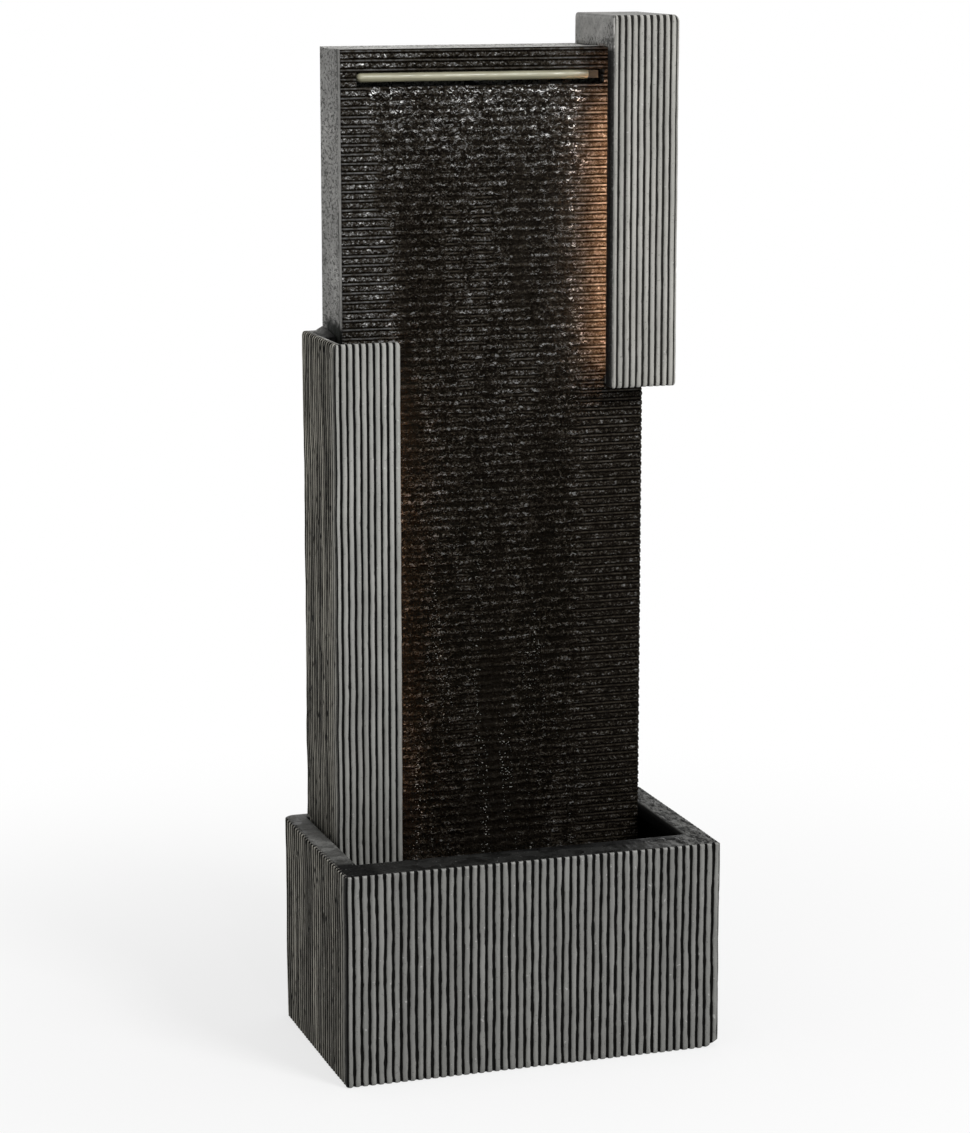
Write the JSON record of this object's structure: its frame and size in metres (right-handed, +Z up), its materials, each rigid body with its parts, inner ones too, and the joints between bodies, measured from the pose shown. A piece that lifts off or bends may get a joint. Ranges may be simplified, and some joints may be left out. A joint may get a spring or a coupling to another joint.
{
  "type": "garden fountain",
  "caption": "Tall waterfall fountain: ribbed basin, slate water wall between two ribbed castings, spill tube, hidden lights, and a pump behind a service door.",
  "frame": {"origin": "middle of the basin's underside", "axes": "+Z up, +X to the fountain's right seen from the front, +Y to its back"},
  "size_m": [0.38, 0.23, 1],
  "materials": {
    "ribbed_stone": "cast resin, matt grey ribs over near-black grooves",
    "wet_slate": "black slate courses, wet and glossy",
    "grey_cement": "plain speckled grey casting, matt",
    "black_plastic": "moulded, satin",
    "grey_plastic": "moulded, satin",
    "pale_tube": "translucent greenish-beige tube",
    "clear_hose": "clear flexible hose",
    "black_rubber": "soft moulded rubber",
    "screw_steel": "stainless",
    "white_ceramic": "ground ceramic",
    "magnet": "ferrite magnet",
    "warm_light": "silicone-sleeved warm light strip"
  },
  "bodies": {
    "root": {"basin": "ribbed_stone", "slate_face": "wet_slate", "tower_shell": "grey_cement", "left_pillar": "ribbed_stone", "upper_block": "ribbed_stone", "pillar_screws": "screw_steel", "block_screws": "screw_steel", "back_panel": "grey_cement", "back_panel_screws": "screw_steel", "cable_grommet": "black_rubber", "spill_tube": "pale_tube", "spill_tube_plug": "grey_plastic", "spill_tube_keepers": "black_plastic", "hose_elbow": "black_plastic", "riser_hose": "clear_hose", "upper_hose_clamp": "screw_steel", "lower_hose_clamp": "screw_steel", "hose_clips": "black_plastic", "pump_motor": "black_plastic", "pump_suction_feet": "black_rubber", "pump_cable_gland": "black_plastic", "pump_volute": "black_plastic", "pump_seal": "black_rubber", "pump_shaft": "white_ceramic", "pump_shaft_bushes": "black_rubber", "block_led_strip": "warm_light", "block_led_end_caps": "black_rubber", "pillar_led_strip": "warm_light", "pillar_led_end_caps": "black_rubber"},
    "service_door": {"service_door": "black_plastic", "door_thumbscrews": "black_plastic"},
    "intake_cover": {"pump_intake_cover": "black_plastic"},
    "flow_dial": {"pump_flow_dial": "grey_plastic"},
    "rotor": {"pump_impeller": "grey_plastic", "pump_rotor_magnet": "magnet"}
  },
  "joints": [
    {"name": "door_lift_off", "type": "slide", "parent": "root", "child": "service_door", "axis": [0, 1, 0], "range_m": [0, 0.15]},
    {"name": "intake_cover_pull", "type": "slide", "parent": "root", "child": "intake_cover", "axis": [-1, 0, 0], "range_m": [0, 0.05]},
    {"name": "flow_dial_turn", "type": "hinge", "parent": "intake_cover", "child": "flow_dial", "pos_m": [-0.036, 0.0777, 0.037], "axis": [-1, 0, 0], "range_deg": [0, 90]},
    {"name": "impeller_spin", "type": "hinge", "parent": "root", "child": "rotor", "pos_m": [0.006, 0.0777, 0.037], "axis": [1, 0, 0], "continuous": true}
  ]
}
